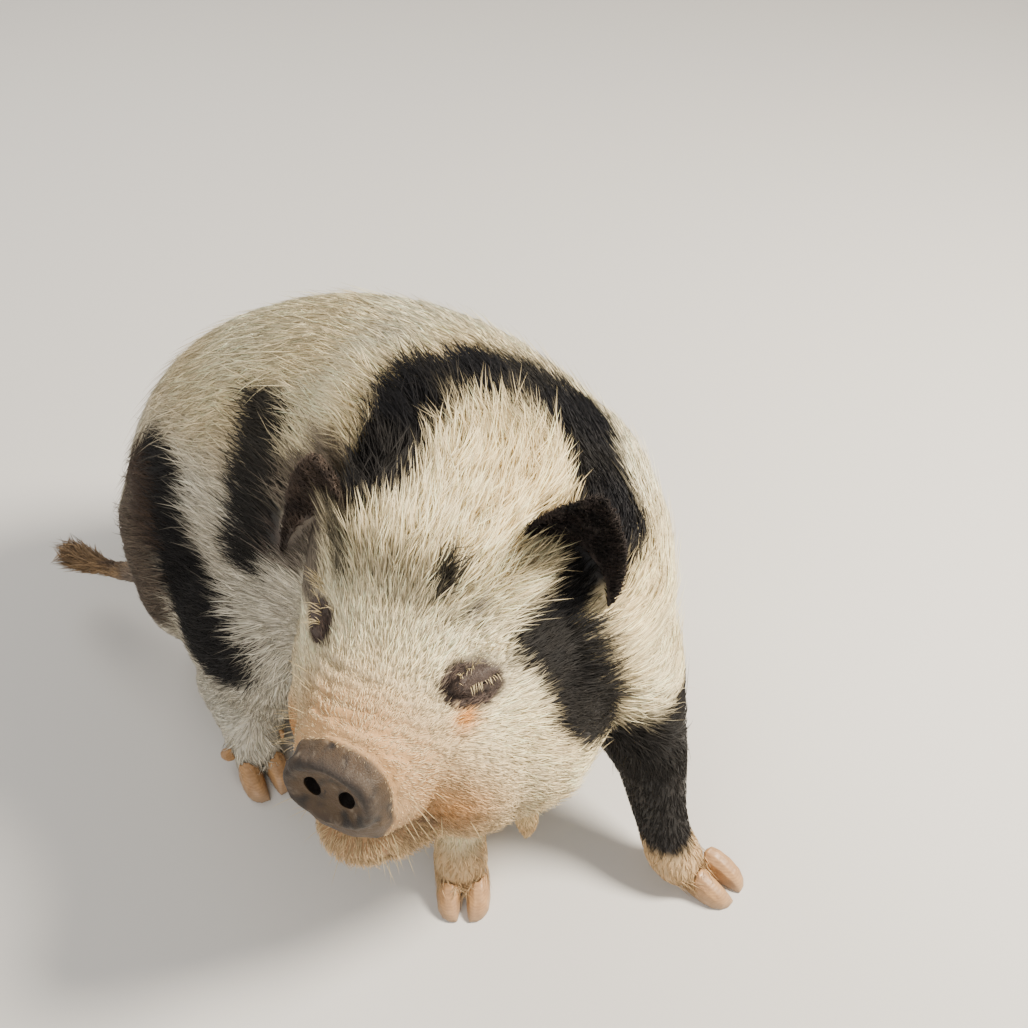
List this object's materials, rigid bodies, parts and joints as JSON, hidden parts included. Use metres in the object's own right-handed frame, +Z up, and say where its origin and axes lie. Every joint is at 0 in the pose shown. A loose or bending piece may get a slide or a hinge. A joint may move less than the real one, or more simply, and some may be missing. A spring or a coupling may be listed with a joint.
{
  "type": "pot-bellied pig of the kunekune kind",
  "caption": "Life-size still model of a fat, spotted pot-bellied pig with a bristly coat, sitting on its haunches with its head turned to its right.",
  "frame": {"origin": "middle of the bounding box at floor level", "axes": "+Z up; the body points along -Y, with its tail towards +Y; the pig's left side is towards +X"},
  "size_m": [0.516, 0.8834, 0.5441],
  "materials": {
    "coat": "long bristly cream coat with black and grey patches",
    "face_coat": "cream face hair over pinkish skin",
    "dark_coat": "black bristly coat",
    "leg_coat": "short tan and cream hair",
    "ear": "thin dark skin with a fringe of hair",
    "tassel": "tan hairy wattle",
    "tail": "brown hair",
    "hoof": "pinkish brown horn",
    "eye": "wet dark brown"
  },
  "bodies": {
    "root": {"head": "face_coat", "left_ear": "ear", "left_eye": "eye", "left_fore_left_dewclaw": "hoof", "left_fore_left_hoof": "hoof", "left_fore_right_dewclaw": "hoof", "left_fore_right_hoof": "hoof", "left_foreleg": "dark_coat", "left_hind_left_dewclaw": "hoof", "left_hind_left_hoof": "hoof", "left_hind_leg": "leg_coat", "left_hind_right_dewclaw": "hoof", "left_hind_right_hoof": "hoof", "left_tassel": "tassel", "left_thigh": "dark_coat", "neck": "dark_coat", "right_ear": "ear", "right_eye": "eye", "right_fore_left_dewclaw": "hoof", "right_fore_left_hoof": "hoof", "right_fore_right_dewclaw": "hoof", "right_fore_right_hoof": "hoof", "right_foreleg": "leg_coat", "right_hind_left_dewclaw": "hoof", "right_hind_left_hoof": "hoof", "right_hind_leg": "leg_coat", "right_hind_right_dewclaw": "hoof", "right_hind_right_hoof": "hoof", "right_tassel": "tassel", "right_thigh": "dark_coat", "tail": "tail", "torso": "coat"}
  },
  "joints": []
}
